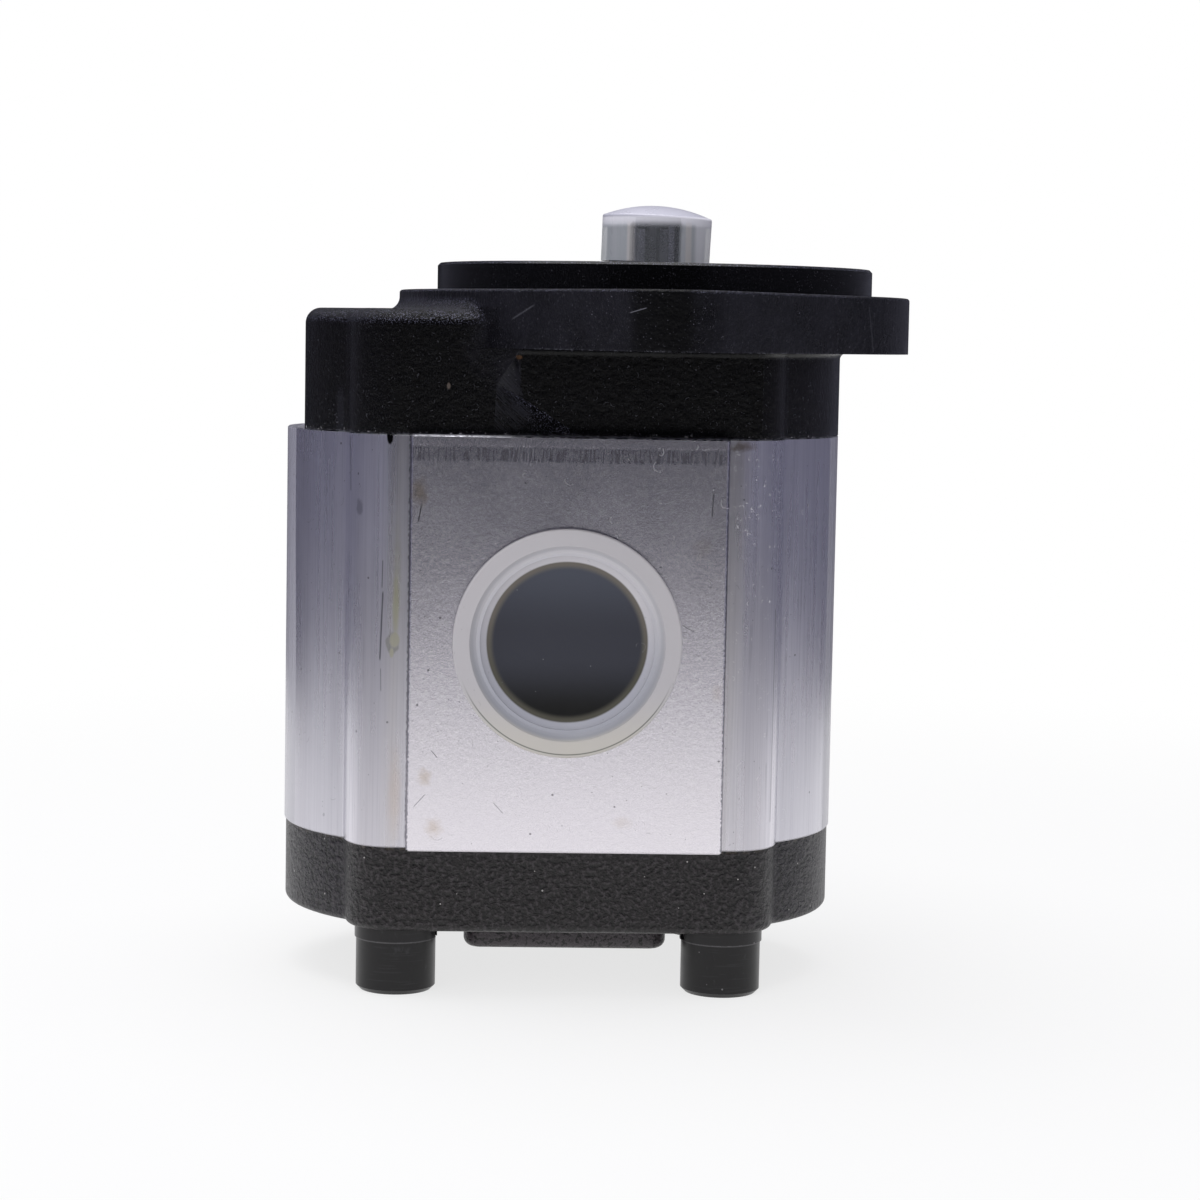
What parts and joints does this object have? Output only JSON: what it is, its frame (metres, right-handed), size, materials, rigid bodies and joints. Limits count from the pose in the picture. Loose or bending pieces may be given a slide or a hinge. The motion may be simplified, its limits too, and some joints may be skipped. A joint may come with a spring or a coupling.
{
  "type": "hydraulic gear pump",
  "caption": "External gear pump with a two-bolt flange, a round pilot and a splined shaft under a cap, and a plugged port on each side of its extruded body.",
  "frame": {"origin": "on the drive shaft's axis, in the plane of the mounting face", "axes": "+Z out along the drive shaft, -Y towards the inlet port, -X towards the driven gear"},
  "size_m": [0.1449, 0.1746, 0.1786],
  "materials": {
    "black_casting": "black paint over a cast skin",
    "extruded_aluminium": "as extruded, with fine upright streaks",
    "brown_casting": "thin dark paint over rough casting",
    "black_steel": "black oxide",
    "washer_steel": "dark spring steel",
    "ground_steel": "ground",
    "gear_steel": "hardened and ground",
    "block_alloy": "machined",
    "bush_bronze": "lined",
    "seal_rubber": "matt",
    "backup_plastic": "matt",
    "milky_plastic": "milky, see-through",
    "white_plastic": "soft gloss"
  },
  "bodies": {
    "housing": {"front_cover": "black_casting", "pump_body": "extruded_aluminium", "rear_cover": "brown_casting", "cover_screws": "black_steel", "lock_washers": "washer_steel", "dowel_pins": "ground_steel", "front_bearing_block": "block_alloy", "rear_bearing_block": "block_alloy", "front_drive_bush": "bush_bronze", "front_driven_bush": "bush_bronze", "rear_drive_bush": "bush_bronze", "rear_driven_bush": "bush_bronze", "front_body_seal": "seal_rubber", "rear_body_seal": "seal_rubber", "front_pressure_seal": "seal_rubber", "rear_pressure_seal": "seal_rubber", "front_backup_ring": "backup_plastic", "rear_backup_ring": "backup_plastic", "inner_shaft_seal": "seal_rubber", "outer_shaft_seal": "seal_rubber", "retaining_ring": "washer_steel"},
    "drive_rotor": {"drive_gear_shaft": "gear_steel"},
    "driven_rotor": {"driven_gear_shaft": "gear_steel"},
    "shaft_cap": {"shaft_cap": "milky_plastic"},
    "inlet_plug": {"inlet_plug": "white_plastic"},
    "outlet_plug": {"outlet_plug": "white_plastic"}
  },
  "joints": [
    {"name": "drive_spin", "type": "hinge", "parent": "housing", "child": "drive_rotor", "pos_m": [0, 0, 0], "axis": [0, 0, 1], "continuous": true},
    {"name": "driven_spin", "type": "hinge", "parent": "housing", "child": "driven_rotor", "pos_m": [-0.0415, 0, 0], "axis": [0, 0, 1], "continuous": true},
    {"name": "shaft_cap_pull", "type": "slide", "parent": "drive_rotor", "child": "shaft_cap", "axis": [0, 0, 1], "range_m": [0, 0.03]},
    {"name": "inlet_plug_pull", "type": "slide", "parent": "housing", "child": "inlet_plug", "axis": [0, -1, 0], "range_m": [0, 0.04]},
    {"name": "outlet_plug_pull", "type": "slide", "parent": "housing", "child": "outlet_plug", "axis": [0, 1, 0], "range_m": [0, 0.04]}
  ],
  "couplings": [
    {"joint": "driven_spin", "follows": "drive_spin", "ratio": -1}
  ]
}
